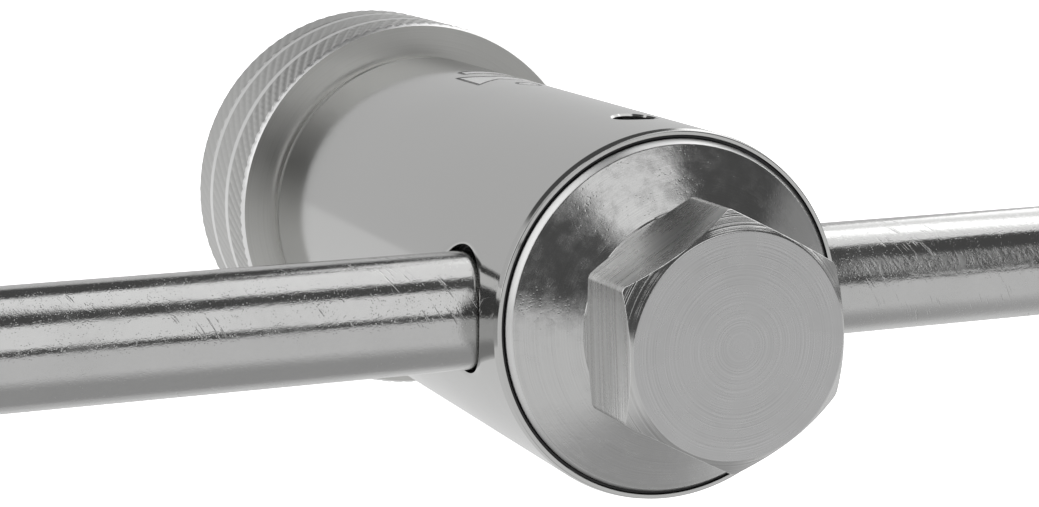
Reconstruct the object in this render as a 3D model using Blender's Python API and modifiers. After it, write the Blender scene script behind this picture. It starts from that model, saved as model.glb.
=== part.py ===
"""Quarter-turn plug valve: a turned steel body with two straight tube ends, a screwed hexagon
end plug at the front and a knurled hand knob at the back that turns the cross-bored plug.

Run with: blender --background --python part.py

The origin is where the tube axis crosses the body axis. +X runs along the tubes, -Y points
out through the hexagon, +Y towards the knob and +Z is up. Lengths below are millimetres;
MM turns them into metres where meshes are made.
"""

import math

import bmesh
import bpy

MM = 0.001
MERGE = 0.00001
FINE, MEDIUM, COARSE = 56, 32, 24
ALONG_Y = (-math.pi / 2, 0, 0)
ALONG_X = (0, math.pi / 2, 0)
UPRIGHT = (0, 0, 0)

# Clearances, from the gap that stands for contact down to a running fit.
GAP = 0.3
CLOSE = 0.2
FIT = 0.15
SLACK = 0.1
JOIN_OVERLAP = 0.5

# Valve body: a turned barrel, bored from both ends round a thin partition.
BODY_RADIUS = 25.0
BODY_FRONT = -14.7
BODY_REAR = 80.3
BODY_BEVEL = 0.7
SEAT_RADIUS = 24.3
SEAT_FLOOR = BODY_FRONT + 2.6
THREAD_BORE = 19.1
CHAMBER_RADIUS = 17.0
CHAMBER_FRONT = -9.4
CHAMBER_REAR = 12.6
POCKET_RADIUS = 9.5
PARTITION_FRONT = 16.4
PARTITION_REAR = 24.0
STUFFING_RADIUS = 10.0
STUFFING_REAR = 46.0
GLAND_BORE = 12.2
BUSH_SHOULDER = 66.0
REAR_BORE = 15.0
RING_GROOVE_RADIUS = 16.0
RING_GROOVE = (72.2, 73.7)

# Tubes and the stepped cross bores that hold them.
TUBE_RADIUS = 8.0
TUBE_BORE = 6.5
TUBE_INNER_END = 18.4
TUBE_OUTER_END = 95.0
TUBE_SOCKET = TUBE_RADIUS + FIT
SOCKET_FLOOR = TUBE_INNER_END - CLOSE
MOUTH_RADIUS = 8.75
MOUTH_LIFT = 0.2
SEAL_GROOVE_RADIUS = 9.6
SEAL_GROOVE = (20.6, 22.4)
TUBE_SEAL_WIRE = 0.7

# Hexagon end plug.
HEX_ACROSS_FLATS = 30.0
HEX_CORNER_RADIUS = 17.0
HEX_TURN = math.radians(-2.03)
HEX_FACE = -34.3
HEX_FACE_RADIUS = 14.7
HEX_CHAMFER = 2.4
HEX_BACK = -21.1
NECK_RADIUS = 15.3
NECK_LENGTH = 0.7
FLANGE_RADIUS = 23.65
FLANGE_BEVEL = 0.9
FLANGE_BACK = BODY_FRONT + 1.5
SPIGOT_RADIUS = THREAD_BORE - CLOSE
SPIGOT_END = CHAMBER_FRONT - GAP
SPRING_POCKET_RADIUS = 15.4
SPRING_POCKET_FLOOR = -14.1
SEAL_LIP = 0.35

# Plug, its sleeve, and the spring that keeps it seated.
PLUG_RADIUS = 14.9
PLUG_FRONT = -9.3
PLUG_REAR = 12.0
PLUG_PORT = 6.0
SLEEVE_PORT = 6.3
SLEEVE_INNER = 15.05
SLEEVE_OUTER = 16.85
SLOT_FLOOR = 8.0
SLOT_WIDTH = 5.4
TANG_LENGTH = 19.2
SPRING_INNER, SPRING_OUTER = 5.5, 14.5
SPRING_DISH = 1.7
SPRING_THICKNESS = 1.2
THRUST_WASHER_INNER = 4.0
THRUST_WASHER_FRONT = -10.8

# Stem and the pieces round it.
STEM_RADIUS = 6.0
STEM_BORE = STEM_RADIUS + SLACK
COLLAR_RADIUS = 9.2
COLLAR = (PLUG_REAR + GAP, 15.1)
O_RING_GROOVES = (18.7, 21.9)
O_RING_GROOVE_RADIUS = 4.9
O_RING_WIRE = 0.5
STEM_ROUND_END = 80.6
SQUARE = 8.4
STEM_END = 97.4
SCREW_HOLE = 2.6
SCREW_HOLE_FLOOR = 82.0
PACKING_INNER = 6.2
PACKING_OUTER = 9.8
PACKING_LENGTH = 3.7
PACKING_RIDGE = 1.0
PACKING_START = PARTITION_REAR + GAP
PACKING_PITCH = PACKING_LENGTH + CLOSE
GLAND_FLANGE = (46.4, 49.0)
GLAND_NUT = (53.6, 61.0)
GLAND_SPRING_STEP = 1.0
GLAND_SPRING_GAP = 0.6
NUT_SLOT_HALF = 1.5
NUT_SLOT_DEPTH = 2.2
SNAP_RING_WIDTH = 1.8
SNAP_RING_GAP = 4.0
BUSH = (62.0, 72.0)
DUST_SEAL = (74.2, 79.9)
DUST_LIP = 3.0
DUST_LIP_EDGE = 0.8

# Travel stop: a pin in the body that runs in a quarter-circle slot in the knob.
STOP_RADIUS = 20.0
PIN_RADIUS = 2.0
PIN = (70.0, 84.6)
STOP_SLOT_FLOOR = 85.2
QUARTER_TURN = math.pi / 2
SLOT_STEPS = 18

# Knurled knob.
KNOB_RADIUS = 30.8
KNOB_HUB_RADIUS = 24.9
KNOB_FRONT = BODY_REAR + 0.6
KNOB_FACE = 82.0
KNOB_BACK = 108.4
KNOB_BEVEL = 1.0
BAND_LINES = (91.3, 100.4)
BAND_LINE_DEPTH = 0.35
KNOB_RECESS_RADIUS = 24.0
KNOB_WEB_BACK = 98.0

# Fasteners.
LOCATING_SCREW_AT = (0.7, -1.3)
LOCATING_HOLE = 3.0
LOCATING_SCREW_TOP = BODY_RADIUS - 2.2
LOCATING_SOCKET = 3.0
LOCATING_SOCKET_DEPTH = 3.0
DOG_RADIUS = 1.9
HEAD_BEVEL = 0.4
KNOB_SCREW_HEAD = (99.9, 104.9)
KNOB_SCREW_RADIUS = 4.25
KNOB_SOCKET = 4.0
KNOB_SOCKET_DEPTH = 2.8
KNOB_WASHER_RADIUS = 8.5

FINISHES = {
    "satin_steel": ((0.60, 0.60, 0.58), 0.24, 1.0),
    "turned_steel": ((0.62, 0.62, 0.61), 0.20, 1.0),
    "plated_tube": ((0.66, 0.66, 0.65), 0.14, 1.0),
    "knurled_steel": ((0.64, 0.64, 0.62), 0.30, 1.0),
    "black_rubber": ((0.015, 0.015, 0.015), 0.60, 0.0),
    "white_ptfe": ((0.85, 0.85, 0.82), 0.45, 0.0),
    "bronze": ((0.60, 0.42, 0.22), 0.35, 1.0),
    "spring_steel": ((0.36, 0.36, 0.38), 0.32, 1.0),
    "machined_steel": ((0.52, 0.52, 0.53), 0.30, 1.0),
    "dark_screw": ((0.08, 0.08, 0.085), 0.38, 1.0),
}


def clear_scene():
    for obj in list(bpy.data.objects):
        bpy.data.objects.remove(obj, do_unlink=True)


def new_collection(name):
    collection = bpy.data.collections.new(name)
    bpy.context.scene.collection.children.link(collection)
    return collection


def material(finish, owner):
    """The finish's Principled material, made once for each piece that wears it."""
    colour, roughness, metallic = FINISHES[finish]
    made = bpy.data.materials.new(owner + "_" + finish)
    made.use_nodes = True
    shader = made.node_tree.nodes["Principled BSDF"]
    shader.inputs["Base Color"].default_value = (*colour, 1.0)
    shader.inputs["Roughness"].default_value = roughness
    shader.inputs["Metallic"].default_value = metallic
    return made


def add(name, mesh, finish, rotation, location=(0, 0, 0)):
    """Links a mesh as a part, or as a hidden cutter where it has no finish."""
    obj = bpy.data.objects.new(name, mesh)
    obj.rotation_euler = rotation
    obj.location = [value * MM for value in location]
    if finish:
        mesh.materials.append(material(finish, name))
        parts.objects.link(obj)
    else:
        obj.hide_render = True
        obj.display_type = "WIRE"
        cutters.objects.link(obj)
    return obj


def turned(name, outline, finish, steps=MEDIUM, rotation=ALONG_Y, location=(0, 0, 0)):
    """A turned solid, or a ring where no outline point is on the axis.

    The outline is (radius, place along the axis) pairs, in either direction.
    """
    following = outline[1:] + outline[:1]
    if sum(a[0] * b[1] - b[0] * a[1] for a, b in zip(outline, following)) > 0:
        outline = outline[::-1]
    edges = [(index, index + 1) for index in range(len(outline) - 1)]
    if min(radius for radius, _ in outline) > 0:
        edges.append((len(outline) - 1, 0))
    mesh = bpy.data.meshes.new(name)
    mesh.from_pydata([(radius * MM, 0, place * MM) for radius, place in outline], edges, [])
    obj = add(name, mesh, finish, rotation, location)
    screw = obj.modifiers.new("Turn", "SCREW")
    screw.angle = 2 * math.pi
    screw.steps = screw.render_steps = steps
    screw.use_merge_vertices = True
    screw.merge_threshold = MERGE
    screw.use_smooth_shade = True
    return obj


def rod(name, radius, ends, finish=None, steps=MEDIUM, rotation=ALONG_Y, location=(0, 0, 0)):
    """A plain cylinder between two places on its axis."""
    low, high = ends
    shape = bmesh.new()
    bmesh.ops.create_cone(
        shape, cap_ends=True, segments=steps,
        radius1=radius * MM, radius2=radius * MM, depth=(high - low) * MM,
    )
    bmesh.ops.translate(shape, verts=shape.verts, vec=(0, 0, (low + high) / 2 * MM))
    mesh = bpy.data.meshes.new(name)
    shape.to_mesh(mesh)
    shape.free()
    return add(name, mesh, finish, rotation, location)


def hexagon(name, across_flats, ends, rotation, location=(0, 0, 0)):
    return rod(name, across_flats / math.sqrt(3), ends, None, 6, rotation, location)


def block(name, low, high):
    """A box cutter between two corners."""
    shape = bmesh.new()
    bmesh.ops.create_cube(shape, size=1)
    size = [(b - a) * MM for a, b in zip(low, high)]
    middle = [(a + b) / 2 * MM for a, b in zip(low, high)]
    bmesh.ops.scale(shape, verts=shape.verts, vec=size)
    bmesh.ops.translate(shape, verts=shape.verts, vec=middle)
    mesh = bpy.data.meshes.new(name)
    shape.to_mesh(mesh)
    shape.free()
    return add(name, mesh, None, UPRIGHT)


def combine(obj, tool, operation="DIFFERENCE"):
    step = obj.modifiers.new(tool.name, "BOOLEAN")
    step.operation = operation
    step.object = tool
    step.solver = "EXACT"


def ring(name, inner, outer, ends, finish, steps=MEDIUM):
    low, high = ends
    outline = [(inner, low), (outer, low), (outer, high), (inner, high)]
    return turned(name, outline, finish, steps)


def disc_spring(name, inner, outer, inner_face, outer_face, thickness):
    """A dished spring washer, given where its near face lies at the inner and outer edge."""
    outline = [
        (inner, inner_face),
        (outer, outer_face),
        (outer, outer_face + thickness),
        (inner, inner_face + thickness),
    ]
    return turned(name, outline, "spring_steel")


def o_ring(name, radius, wire, rotation, location):
    bpy.ops.mesh.primitive_torus_add(
        major_radius=radius * MM, minor_radius=wire * MM,
        major_segments=MEDIUM, minor_segments=6,
        rotation=rotation, location=[value * MM for value in location],
    )
    made = bpy.context.active_object
    for collection in list(made.users_collection):
        collection.objects.unlink(made)
    parts.objects.link(made)
    made.name = made.data.name = name
    made.data.materials.append(material("black_rubber", name))
    made.data.shade_smooth()
    return made


def valve_body():
    """The barrel: seat and thread at the front, plug chamber, partition, gland and bush bores."""
    outline = [
        (BODY_RADIUS, BODY_FRONT + BODY_BEVEL),
        (BODY_RADIUS, BODY_REAR - BODY_BEVEL),
        (BODY_RADIUS - BODY_BEVEL, BODY_REAR),
        (REAR_BORE, BODY_REAR),
        (REAR_BORE, RING_GROOVE[1]),
        (RING_GROOVE_RADIUS, RING_GROOVE[1]),
        (RING_GROOVE_RADIUS, RING_GROOVE[0]),
        (REAR_BORE, RING_GROOVE[0]),
        (REAR_BORE, BUSH_SHOULDER),
        (GLAND_BORE, BUSH_SHOULDER),
        (GLAND_BORE, STUFFING_REAR),
        (STUFFING_RADIUS, STUFFING_REAR),
        (STUFFING_RADIUS, PARTITION_REAR),
        (STEM_BORE, PARTITION_REAR),
        (STEM_BORE, PARTITION_FRONT),
        (POCKET_RADIUS, PARTITION_FRONT),
        (POCKET_RADIUS, CHAMBER_REAR),
        (CHAMBER_RADIUS, CHAMBER_REAR),
        (CHAMBER_RADIUS, CHAMBER_FRONT),
        (THREAD_BORE, CHAMBER_FRONT),
        (THREAD_BORE, SEAT_FLOOR),
        (SEAT_RADIUS, SEAT_FLOOR),
        (SEAT_RADIUS, BODY_FRONT),
    ]
    body = turned("valve_body", outline, "satin_steel", FINE)
    outside = BODY_RADIUS + 1
    combine(body, rod("port_cut", TUBE_BORE, (-outside, outside), rotation=ALONG_X))
    for side in (-1, 1):
        label = "inlet" if side < 0 else "outlet"
        cuts = (
            ("socket", TUBE_SOCKET, (SOCKET_FLOOR, outside), 0),
            ("seal_groove", SEAL_GROOVE_RADIUS, SEAL_GROOVE, 0),
            ("mouth", MOUTH_RADIUS, (SEAL_GROOVE[1] - GAP, outside), MOUTH_LIFT),
        )
        for what, radius, reach, lift in cuts:
            ends = sorted(side * value for value in reach)
            name = label + "_" + what + "_cut"
            cutter = rod(name, radius, ends, rotation=ALONG_X, location=(0, 0, lift))
            combine(body, cutter)
    locating = rod(
        "locating_hole_cut", LOCATING_HOLE, (PLUG_RADIUS, outside), None, COARSE,
        UPRIGHT, (*LOCATING_SCREW_AT, 0),
    )
    combine(body, locating)
    pin_hole = rod(
        "stop_pin_hole_cut", PIN_RADIUS + FIT, (PIN[0] - CLOSE, BODY_REAR + 1),
        None, COARSE, location=(0, 0, STOP_RADIUS),
    )
    combine(body, pin_hole)


def end_plug():
    """The front closure: threaded spigot, bevelled flange, shallow cone, neck and hexagon."""
    back_chamfer = HEX_CORNER_RADIUS - NECK_RADIUS
    outline = [
        (0, HEX_FACE),
        (HEX_FACE_RADIUS, HEX_FACE),
        (HEX_CORNER_RADIUS, HEX_FACE + HEX_CHAMFER),
        (HEX_CORNER_RADIUS, HEX_BACK - back_chamfer),
        (NECK_RADIUS, HEX_BACK),
        (NECK_RADIUS, HEX_BACK + NECK_LENGTH),
        (FLANGE_RADIUS - FLANGE_BEVEL, BODY_FRONT - FLANGE_BEVEL),
        (FLANGE_RADIUS, BODY_FRONT),
        (FLANGE_RADIUS, FLANGE_BACK),
        (SPIGOT_RADIUS, FLANGE_BACK),
        (SPIGOT_RADIUS, SPIGOT_END),
        (SPRING_POCKET_RADIUS, SPIGOT_END),
        (SPRING_POCKET_RADIUS, SPRING_POCKET_FLOOR),
        (0, SPRING_POCKET_FLOOR),
    ]
    plug = turned("end_plug", outline, "turned_steel", FINE)
    flats_end = HEX_BACK + NECK_LENGTH / 2
    turn = (ALONG_Y[0], HEX_TURN, 0)
    waste = rod("flats_cut", HEX_CORNER_RADIUS + 4, (HEX_FACE - 1, flats_end), steps=FINE)
    core = hexagon("hexagon_core_cut", HEX_ACROSS_FLATS, (HEX_FACE - 2, flats_end + 1), turn)
    combine(waste, core)
    combine(plug, waste)


def end_seal():
    """A rubber ring under the flange whose lip stands up round the flange's edge."""
    lip_inner = FLANGE_RADIUS + FIT
    lip_outer = SEAT_RADIUS - FIT
    lip_front = BODY_FRONT + SEAL_LIP
    inner = THREAD_BORE + CLOSE
    under = FLANGE_BACK + SLACK
    floor = SEAT_FLOOR - SLACK
    outline = [
        (inner, under),
        (lip_inner, under),
        (lip_inner, lip_front),
        (lip_outer, lip_front),
        (lip_outer, floor),
        (inner, floor),
    ]
    turned("end_seal", outline, "black_rubber", FINE)


def tubes():
    """The inlet and outlet tubes, each with an O-ring in the body's seal groove."""
    for side, label in ((-1, "inlet"), (1, "outlet")):
        low, high = sorted((side * TUBE_INNER_END, side * TUBE_OUTER_END))
        outline = [(TUBE_BORE, low), (TUBE_RADIUS, low), (TUBE_RADIUS, high), (TUBE_BORE, high)]
        turned(label + "_tube", outline, "plated_tube", MEDIUM, ALONG_X)
        middle = side * sum(SEAL_GROOVE) / 2
        radius = TUBE_RADIUS + SLACK + TUBE_SEAL_WIRE
        o_ring(label + "_tube_seal", radius, TUBE_SEAL_WIRE, ALONG_X, (middle, 0, 0))


def plug_sleeve():
    """The plastic liner between plug and body, with two ports and a hole for the locating screw."""
    sleeve = ring(
        "plug_sleeve", SLEEVE_INNER, SLEEVE_OUTER,
        (CHAMBER_FRONT + CLOSE, CHAMBER_REAR - GAP), "white_ptfe",
    )
    reach = CHAMBER_RADIUS + 2
    combine(sleeve, rod("sleeve_port_cut", SLEEVE_PORT, (-reach, reach), rotation=ALONG_X))
    hole = rod(
        "sleeve_hole_cut", DOG_RADIUS + CLOSE, (SLEEVE_INNER - 1, reach), None, COARSE,
        UPRIGHT, (*LOCATING_SCREW_AT, 0),
    )
    combine(sleeve, hole)


def plug():
    """The turning plug: a cylinder bored across for flow and slotted behind for the stem."""
    made = rod("plug", PLUG_RADIUS, (PLUG_FRONT, PLUG_REAR), "machined_steel")
    reach = PLUG_RADIUS + 1
    combine(made, rod("plug_port_cut", PLUG_PORT, (-reach, reach), rotation=ALONG_X))
    half = SLOT_WIDTH / 2
    length = TANG_LENGTH / 2 + GAP
    slot = block("plug_slot_cut", (-length, SLOT_FLOOR, -half), (length, PLUG_REAR + 1, half))
    combine(made, slot)
    return made


def stem():
    """Tang, thrust collar, sealed journal and the square that drives the knob."""
    outline = [(0, COLLAR[0]), (COLLAR_RADIUS, COLLAR[0]), (COLLAR_RADIUS, COLLAR[1])]
    outline.append((STEM_RADIUS, COLLAR[1]))
    for middle in O_RING_GROOVES:
        low, high = middle - O_RING_WIRE - CLOSE, middle + O_RING_WIRE + CLOSE
        outline += [(STEM_RADIUS, low), (O_RING_GROOVE_RADIUS, low)]
        outline += [(O_RING_GROOVE_RADIUS, high), (STEM_RADIUS, high)]
    outline += [(STEM_RADIUS, STEM_ROUND_END), (0, STEM_ROUND_END)]
    made = turned("stem", outline, "machined_steel")
    half = SLOT_WIDTH / 2 - CLOSE
    length = TANG_LENGTH / 2
    tang = block(
        "tang_join", (-length, SLOT_FLOOR + GAP, -half), (length, COLLAR[0] + JOIN_OVERLAP, half)
    )
    trim = rod("tang_trim", COLLAR_RADIUS - CLOSE, (SLOT_FLOOR, COLLAR[0] + 1))
    combine(tang, trim, "INTERSECT")
    combine(made, tang, "UNION")
    side = SQUARE / 2
    start = STEM_ROUND_END - JOIN_OVERLAP
    square = block("square_join", (-side, start, -side), (side, STEM_END, side))
    combine(made, square, "UNION")
    combine(made, rod("screw_hole_cut", SCREW_HOLE, (SCREW_HOLE_FLOOR, STEM_END + 1), steps=COARSE))
    return made


def stem_o_rings():
    return [
        o_ring(
            "stem_o_ring_%d" % number, O_RING_GROOVE_RADIUS + SLACK / 2 + O_RING_WIRE,
            O_RING_WIRE, ALONG_Y, (0, middle, 0),
        )
        for number, middle in enumerate(O_RING_GROOVES, 1)
    ]


def packing():
    """Three nesting V rings in the stuffing box."""
    middle = (PACKING_INNER + PACKING_OUTER) / 2
    for number in range(3):
        front = PACKING_START + number * PACKING_PITCH
        back = front + PACKING_LENGTH
        outline = [
            (PACKING_INNER, front), (middle, front + PACKING_RIDGE), (PACKING_OUTER, front),
            (PACKING_OUTER, back), (middle, back + PACKING_RIDGE), (PACKING_INNER, back),
        ]
        turned("packing_ring_%d" % (number + 1), outline, "white_ptfe", COARSE)


def gland():
    """Follower, two opposed disc springs and the slotted nut that loads them."""
    middle = (PACKING_INNER + PACKING_OUTER) / 2
    nose = PACKING_START + 3 * PACKING_PITCH
    low, high = GLAND_FLANGE
    outline = [
        (PACKING_INNER, nose), (middle, nose + PACKING_RIDGE), (PACKING_OUTER, nose),
        (PACKING_OUTER, low), (GLAND_BORE - 2 * CLOSE, low), (GLAND_BORE - 2 * CLOSE, high),
        (PACKING_INNER, high),
    ]
    turned("gland_follower", outline, "bronze")
    inner, outer = STEM_RADIUS + GLAND_SPRING_GAP, GLAND_BORE - GLAND_SPRING_GAP
    step = GLAND_SPRING_STEP
    first = high + CLOSE
    second = first + 2 * step + CLOSE
    disc_spring("gland_spring_1", inner, outer, first + step, first, step)
    disc_spring("gland_spring_2", inner, outer, second, second + step, step)
    nut = ring("gland_nut", STEM_RADIUS + GAP, GLAND_BORE - CLOSE, GLAND_NUT, "machined_steel")
    across = GLAND_BORE + 1
    low, high = GLAND_NUT[1] - NUT_SLOT_DEPTH, GLAND_NUT[1] + 1
    half = NUT_SLOT_HALF
    combine(nut, block("nut_slot_cut", (-across, low, -half), (across, high, half)))


def rear_bush():
    """The flanged bronze bearing of the stem's back end, its snap ring and the dust seal."""
    nose = GLAND_BORE - GAP
    outer = REAR_BORE - CLOSE
    outline = [
        (STEM_BORE, BUSH[0]), (nose, BUSH[0]), (nose, BUSH_SHOULDER + GAP),
        (outer, BUSH_SHOULDER + GAP), (outer, BUSH[1]), (STEM_BORE, BUSH[1]),
    ]
    turned("rear_bush", outline, "bronze")
    low, high = RING_GROOVE[0] + CLOSE, RING_GROOVE[1] - CLOSE
    snap = ring(
        "bush_retaining_ring", REAR_BORE - SNAP_RING_WIDTH, RING_GROOVE_RADIUS - CLOSE,
        (low, high), "spring_steel",
    )
    reach = RING_GROOVE_RADIUS + 1
    half = SNAP_RING_GAP
    combine(snap, block("ring_gap_cut", (-half, low - 1, -reach), (half, high + 1, 0)))
    lip = STEM_RADIUS + FIT
    front, back = DUST_SEAL
    outline = [
        (lip, back), (outer, back), (outer, front), (lip + DUST_LIP, front),
        (lip + DUST_LIP, front + DUST_LIP), (lip, back - DUST_LIP_EDGE),
    ]
    turned("dust_seal", outline, "black_rubber")


def stop_pin():
    rod("stop_pin", PIN_RADIUS, PIN, "machined_steel", COARSE, location=(0, 0, STOP_RADIUS))


def locating_screw():
    """A grub screw in the top of the body whose dog point keys the sleeve."""
    tip, dog = SLEEVE_INNER + FIT + GAP, CHAMBER_RADIUS + 2 * CLOSE
    top, shank = LOCATING_SCREW_TOP, LOCATING_HOLE - FIT
    outline = [
        (0, tip), (DOG_RADIUS, tip), (DOG_RADIUS, dog), (shank, dog),
        (shank, top - HEAD_BEVEL), (shank - HEAD_BEVEL, top), (0, top),
    ]
    at = (*LOCATING_SCREW_AT, 0)
    screw = turned("sleeve_locating_screw", outline, "dark_screw", COARSE, UPRIGHT, at)
    reach = (top - LOCATING_SOCKET_DEPTH, top + 1)
    combine(screw, hexagon("screw_socket_cut", LOCATING_SOCKET, reach, UPRIGHT, at))


def stop_slot(knob):
    """Cuts the quarter-circle slot, round at both ends, that the stop pin runs in."""
    half = PIN_RADIUS + GAP
    ends = (KNOB_FRONT - 1, STOP_SLOT_FLOOR)
    shape = bmesh.new()
    low, high = [place * MM for place in ends]
    corners = [(STOP_RADIUS - half, low), (STOP_RADIUS + half, low)]
    corners += [(STOP_RADIUS + half, high), (STOP_RADIUS - half, high)]
    verts = [shape.verts.new((0, place, radius * MM)) for radius, place in corners]
    face = shape.faces.new(verts)
    bmesh.ops.spin(
        shape, geom=[face, *face.edges, *face.verts], cent=(0, 0, 0), axis=(0, 1, 0),
        angle=-QUARTER_TURN, steps=SLOT_STEPS, use_duplicate=False,
    )
    bmesh.ops.recalc_face_normals(shape, faces=shape.faces)
    mesh = bpy.data.meshes.new("stop_slot_cut")
    shape.to_mesh(mesh)
    shape.free()
    combine(knob, add("stop_slot_cut", mesh, None, UPRIGHT))
    for number, place in enumerate(((0, 0, STOP_RADIUS), (-STOP_RADIUS, 0, 0)), 1):
        combine(knob, rod("slot_end_%d_cut" % number, half, ends, steps=COARSE, location=place))


def knurled_knob():
    """The hand wheel: hub, flat front face, three grip bands, a deep recess at the back."""
    outline = [
        (0, KNOB_FRONT), (KNOB_HUB_RADIUS, KNOB_FRONT), (KNOB_HUB_RADIUS, KNOB_FACE),
        (KNOB_RADIUS - KNOB_BEVEL, KNOB_FACE), (KNOB_RADIUS, KNOB_FACE + KNOB_BEVEL),
    ]
    for line in BAND_LINES:
        outline += [(KNOB_RADIUS, line - BAND_LINE_DEPTH), (KNOB_RADIUS - BAND_LINE_DEPTH, line)]
        outline.append((KNOB_RADIUS, line + BAND_LINE_DEPTH))
    outline += [
        (KNOB_RADIUS, KNOB_BACK - KNOB_BEVEL), (KNOB_RADIUS - KNOB_BEVEL, KNOB_BACK),
        (KNOB_RECESS_RADIUS + KNOB_BEVEL, KNOB_BACK),
        (KNOB_RECESS_RADIUS, KNOB_BACK - KNOB_BEVEL),
        (KNOB_RECESS_RADIUS, KNOB_WEB_BACK), (0, KNOB_WEB_BACK),
    ]
    knob = turned("knurled_knob", outline, "knurled_steel", FINE)
    side = SQUARE / 2 + CLOSE
    low, high = KNOB_FRONT - 1, KNOB_WEB_BACK + 1
    combine(knob, block("square_hole_cut", (-side, low, -side), (side, high, side)))
    stop_slot(knob)
    return knob


def knob_fixing():
    """The washer and cap screw that hold the knob on the stem's square."""
    low, high = KNOB_SCREW_HEAD
    washer = ring(
        "knob_washer", SCREW_HOLE + CLOSE, KNOB_WASHER_RADIUS, (KNOB_WEB_BACK + CLOSE, low - CLOSE),
        "machined_steel", COARSE,
    )
    shank, head = SCREW_HOLE - FIT, KNOB_SCREW_RADIUS
    tip = SCREW_HOLE_FLOOR + 3
    outline = [
        (0, tip), (shank, tip), (shank, low), (head, low), (head, high - HEAD_BEVEL),
        (head - HEAD_BEVEL, high), (0, high),
    ]
    screw = turned("knob_screw", outline, "dark_screw", COARSE)
    reach = (high - KNOB_SOCKET_DEPTH, high + 1)
    combine(screw, hexagon("knob_socket_cut", KNOB_SOCKET, reach, ALONG_Y))
    return [washer, screw]


clear_scene()
parts = new_collection("plug_valve")
cutters = new_collection("plug_valve_cutters")

valve_body()
end_plug()
end_seal()
tubes()
plug_sleeve()
spring_front = SPRING_POCKET_FLOOR + CLOSE
disc_spring(
    "disc_spring", SPRING_INNER, SPRING_OUTER, spring_front, spring_front + SPRING_DISH,
    SPRING_THICKNESS,
)
ring(
    "thrust_washer", THRUST_WASHER_INNER, SPRING_OUTER,
    (THRUST_WASHER_FRONT, PLUG_FRONT - GAP), "bronze",
)
packing()
gland()
rear_bush()
stop_pin()
locating_screw()

rotor_axis = bpy.data.objects.new("rotor_axis", None)
parts.objects.link(rotor_axis)
turning = [plug(), stem(), *stem_o_rings(), knurled_knob(), *knob_fixing()]
washer_ends = (COLLAR[1] + CLOSE, PARTITION_FRONT - CLOSE)
turning.append(ring("stem_thrust_washer", STEM_BORE + CLOSE, COLLAR_RADIUS, washer_ends, "bronze"))
for piece in turning:
    piece.parent = rotor_axis
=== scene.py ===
import math

import bmesh
import bpy
import numpy as np
from mathutils import Matrix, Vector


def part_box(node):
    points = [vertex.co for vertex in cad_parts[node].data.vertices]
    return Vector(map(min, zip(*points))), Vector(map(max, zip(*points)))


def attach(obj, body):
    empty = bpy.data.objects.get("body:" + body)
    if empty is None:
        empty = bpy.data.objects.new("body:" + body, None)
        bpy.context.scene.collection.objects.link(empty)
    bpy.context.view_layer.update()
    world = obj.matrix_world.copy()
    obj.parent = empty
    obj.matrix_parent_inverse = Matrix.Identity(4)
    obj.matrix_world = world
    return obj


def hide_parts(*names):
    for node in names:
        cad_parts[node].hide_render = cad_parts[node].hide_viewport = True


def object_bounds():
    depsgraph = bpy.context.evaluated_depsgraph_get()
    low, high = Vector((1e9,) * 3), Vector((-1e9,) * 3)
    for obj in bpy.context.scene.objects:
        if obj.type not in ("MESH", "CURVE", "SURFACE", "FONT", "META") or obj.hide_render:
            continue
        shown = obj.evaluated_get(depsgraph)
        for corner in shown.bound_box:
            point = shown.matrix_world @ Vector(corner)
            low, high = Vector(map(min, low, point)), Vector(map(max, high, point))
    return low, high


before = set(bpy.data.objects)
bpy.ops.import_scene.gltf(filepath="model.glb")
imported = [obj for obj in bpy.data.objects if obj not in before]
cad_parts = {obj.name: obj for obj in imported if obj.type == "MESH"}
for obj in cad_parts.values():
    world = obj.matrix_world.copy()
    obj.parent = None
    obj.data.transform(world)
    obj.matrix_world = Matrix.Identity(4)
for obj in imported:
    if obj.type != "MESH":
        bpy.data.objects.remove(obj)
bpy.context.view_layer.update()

mm = 0.001  # shapes are worked out in millimetres and made in metres
weldDistance = 0.0015 * mm
print("frame loaded:", len(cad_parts), "nodes")


def lowOf(node, axis):  # where a CAD node starts on x, y or z, in millimetres
    return round(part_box(node)[0]["xyz".index(axis)] / mm, 3)


def highOf(node, axis):
    return round(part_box(node)[1]["xyz".index(axis)] / mm, 3)


# Shapes are sheets of points, welded into closed pieces.
def circleOf(count, start=0.0):
    return np.radians(start) + np.linspace(0, 2 * np.pi, count + 1)


def sheetOf(points, zone=0, keep=None, flip=None):
    return {"points": np.asarray(points, float), "zone": zone, "keep": keep, "flip": flip}


cornerSteps = 4
mostOfSide = 0.3  # how much of a side a rounded corner may take
flatRow = 1.6  # where the flat part's last row lies, in soft lengths from the corner


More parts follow.
